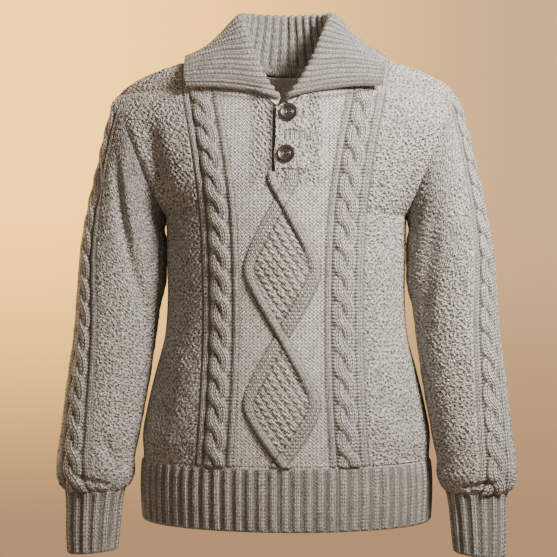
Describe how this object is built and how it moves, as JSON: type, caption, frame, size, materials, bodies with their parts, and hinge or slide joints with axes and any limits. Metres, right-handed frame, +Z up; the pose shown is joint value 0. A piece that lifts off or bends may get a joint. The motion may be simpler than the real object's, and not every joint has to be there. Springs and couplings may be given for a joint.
{
  "type": "cable knit sweater",
  "caption": "Pullover in cable knit with a ribbed fold-over collar, a buttoned placket, long sleeves and ribbed hem and cuffs, in its worn form.",
  "frame": {"origin": "between the two points where the shoulder seams meet the neckline, which is where the wearer's shoulders and neck hold the garment up", "axes": "+Z up along the standing wearer, -Y to the wearer's front, +X to the wearer's left"},
  "size_m": [0.6008, 0.2575, 0.7206],
  "materials": {
    "wool": "heathered knitted wool, matt",
    "button": "turned, dark brown, satin"
  },
  "bodies": {
    "root": {"front": "wool", "back": "wool", "sleeve_left": "wool", "sleeve_right": "wool", "hem_rib": "wool", "cuff_left": "wool", "cuff_right": "wool", "collar": "wool", "placket_over": "wool", "placket_under": "wool", "button_top": "button", "button_bottom": "button"}
  },
  "joints": []
}
